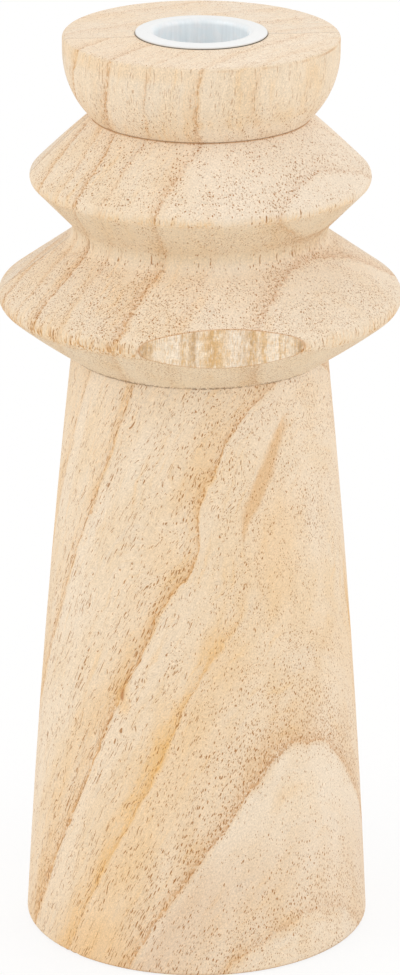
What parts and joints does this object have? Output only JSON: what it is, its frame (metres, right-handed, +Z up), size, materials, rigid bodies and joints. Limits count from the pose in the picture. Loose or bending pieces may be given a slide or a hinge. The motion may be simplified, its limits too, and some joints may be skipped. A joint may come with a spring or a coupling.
{
  "type": "candle holder",
  "caption": "Tall turned wooden candle stand: tapered round body under two sharp-edged discs and a bowl-shaped cap with a flanged metal candle cup.",
  "frame": {"origin": "on the turning axis at the underside, on the surface that the stand rests on", "axes": "+Z up along the turning axis, towards the candle; -Y towards the front, where the flat on the lower rim is; +X to the right"},
  "size_m": [0.1, 0.0979, 0.2329],
  "materials": {
    "body_wood": "raw, fine sanded",
    "disc_wood": "raw, fine sanded",
    "cap_wood": "raw, fine sanded",
    "dowel_wood": "raw",
    "cup_metal": "white coated flange, zinc grey inside"
  },
  "bodies": {
    "stand": {"tapered_body": "body_wood", "joining_dowel": "dowel_wood", "double_disc_front_board": "disc_wood", "double_disc_back_board": "disc_wood", "cap_front_board": "cap_wood", "cap_back_board": "cap_wood"},
    "cup": {"candle_cup": "cup_metal"}
  },
  "joints": [
    {"name": "cup_lift", "type": "slide", "parent": "stand", "child": "cup", "axis": [0, 0, 1], "range_m": [0, 0.028]}
  ]
}
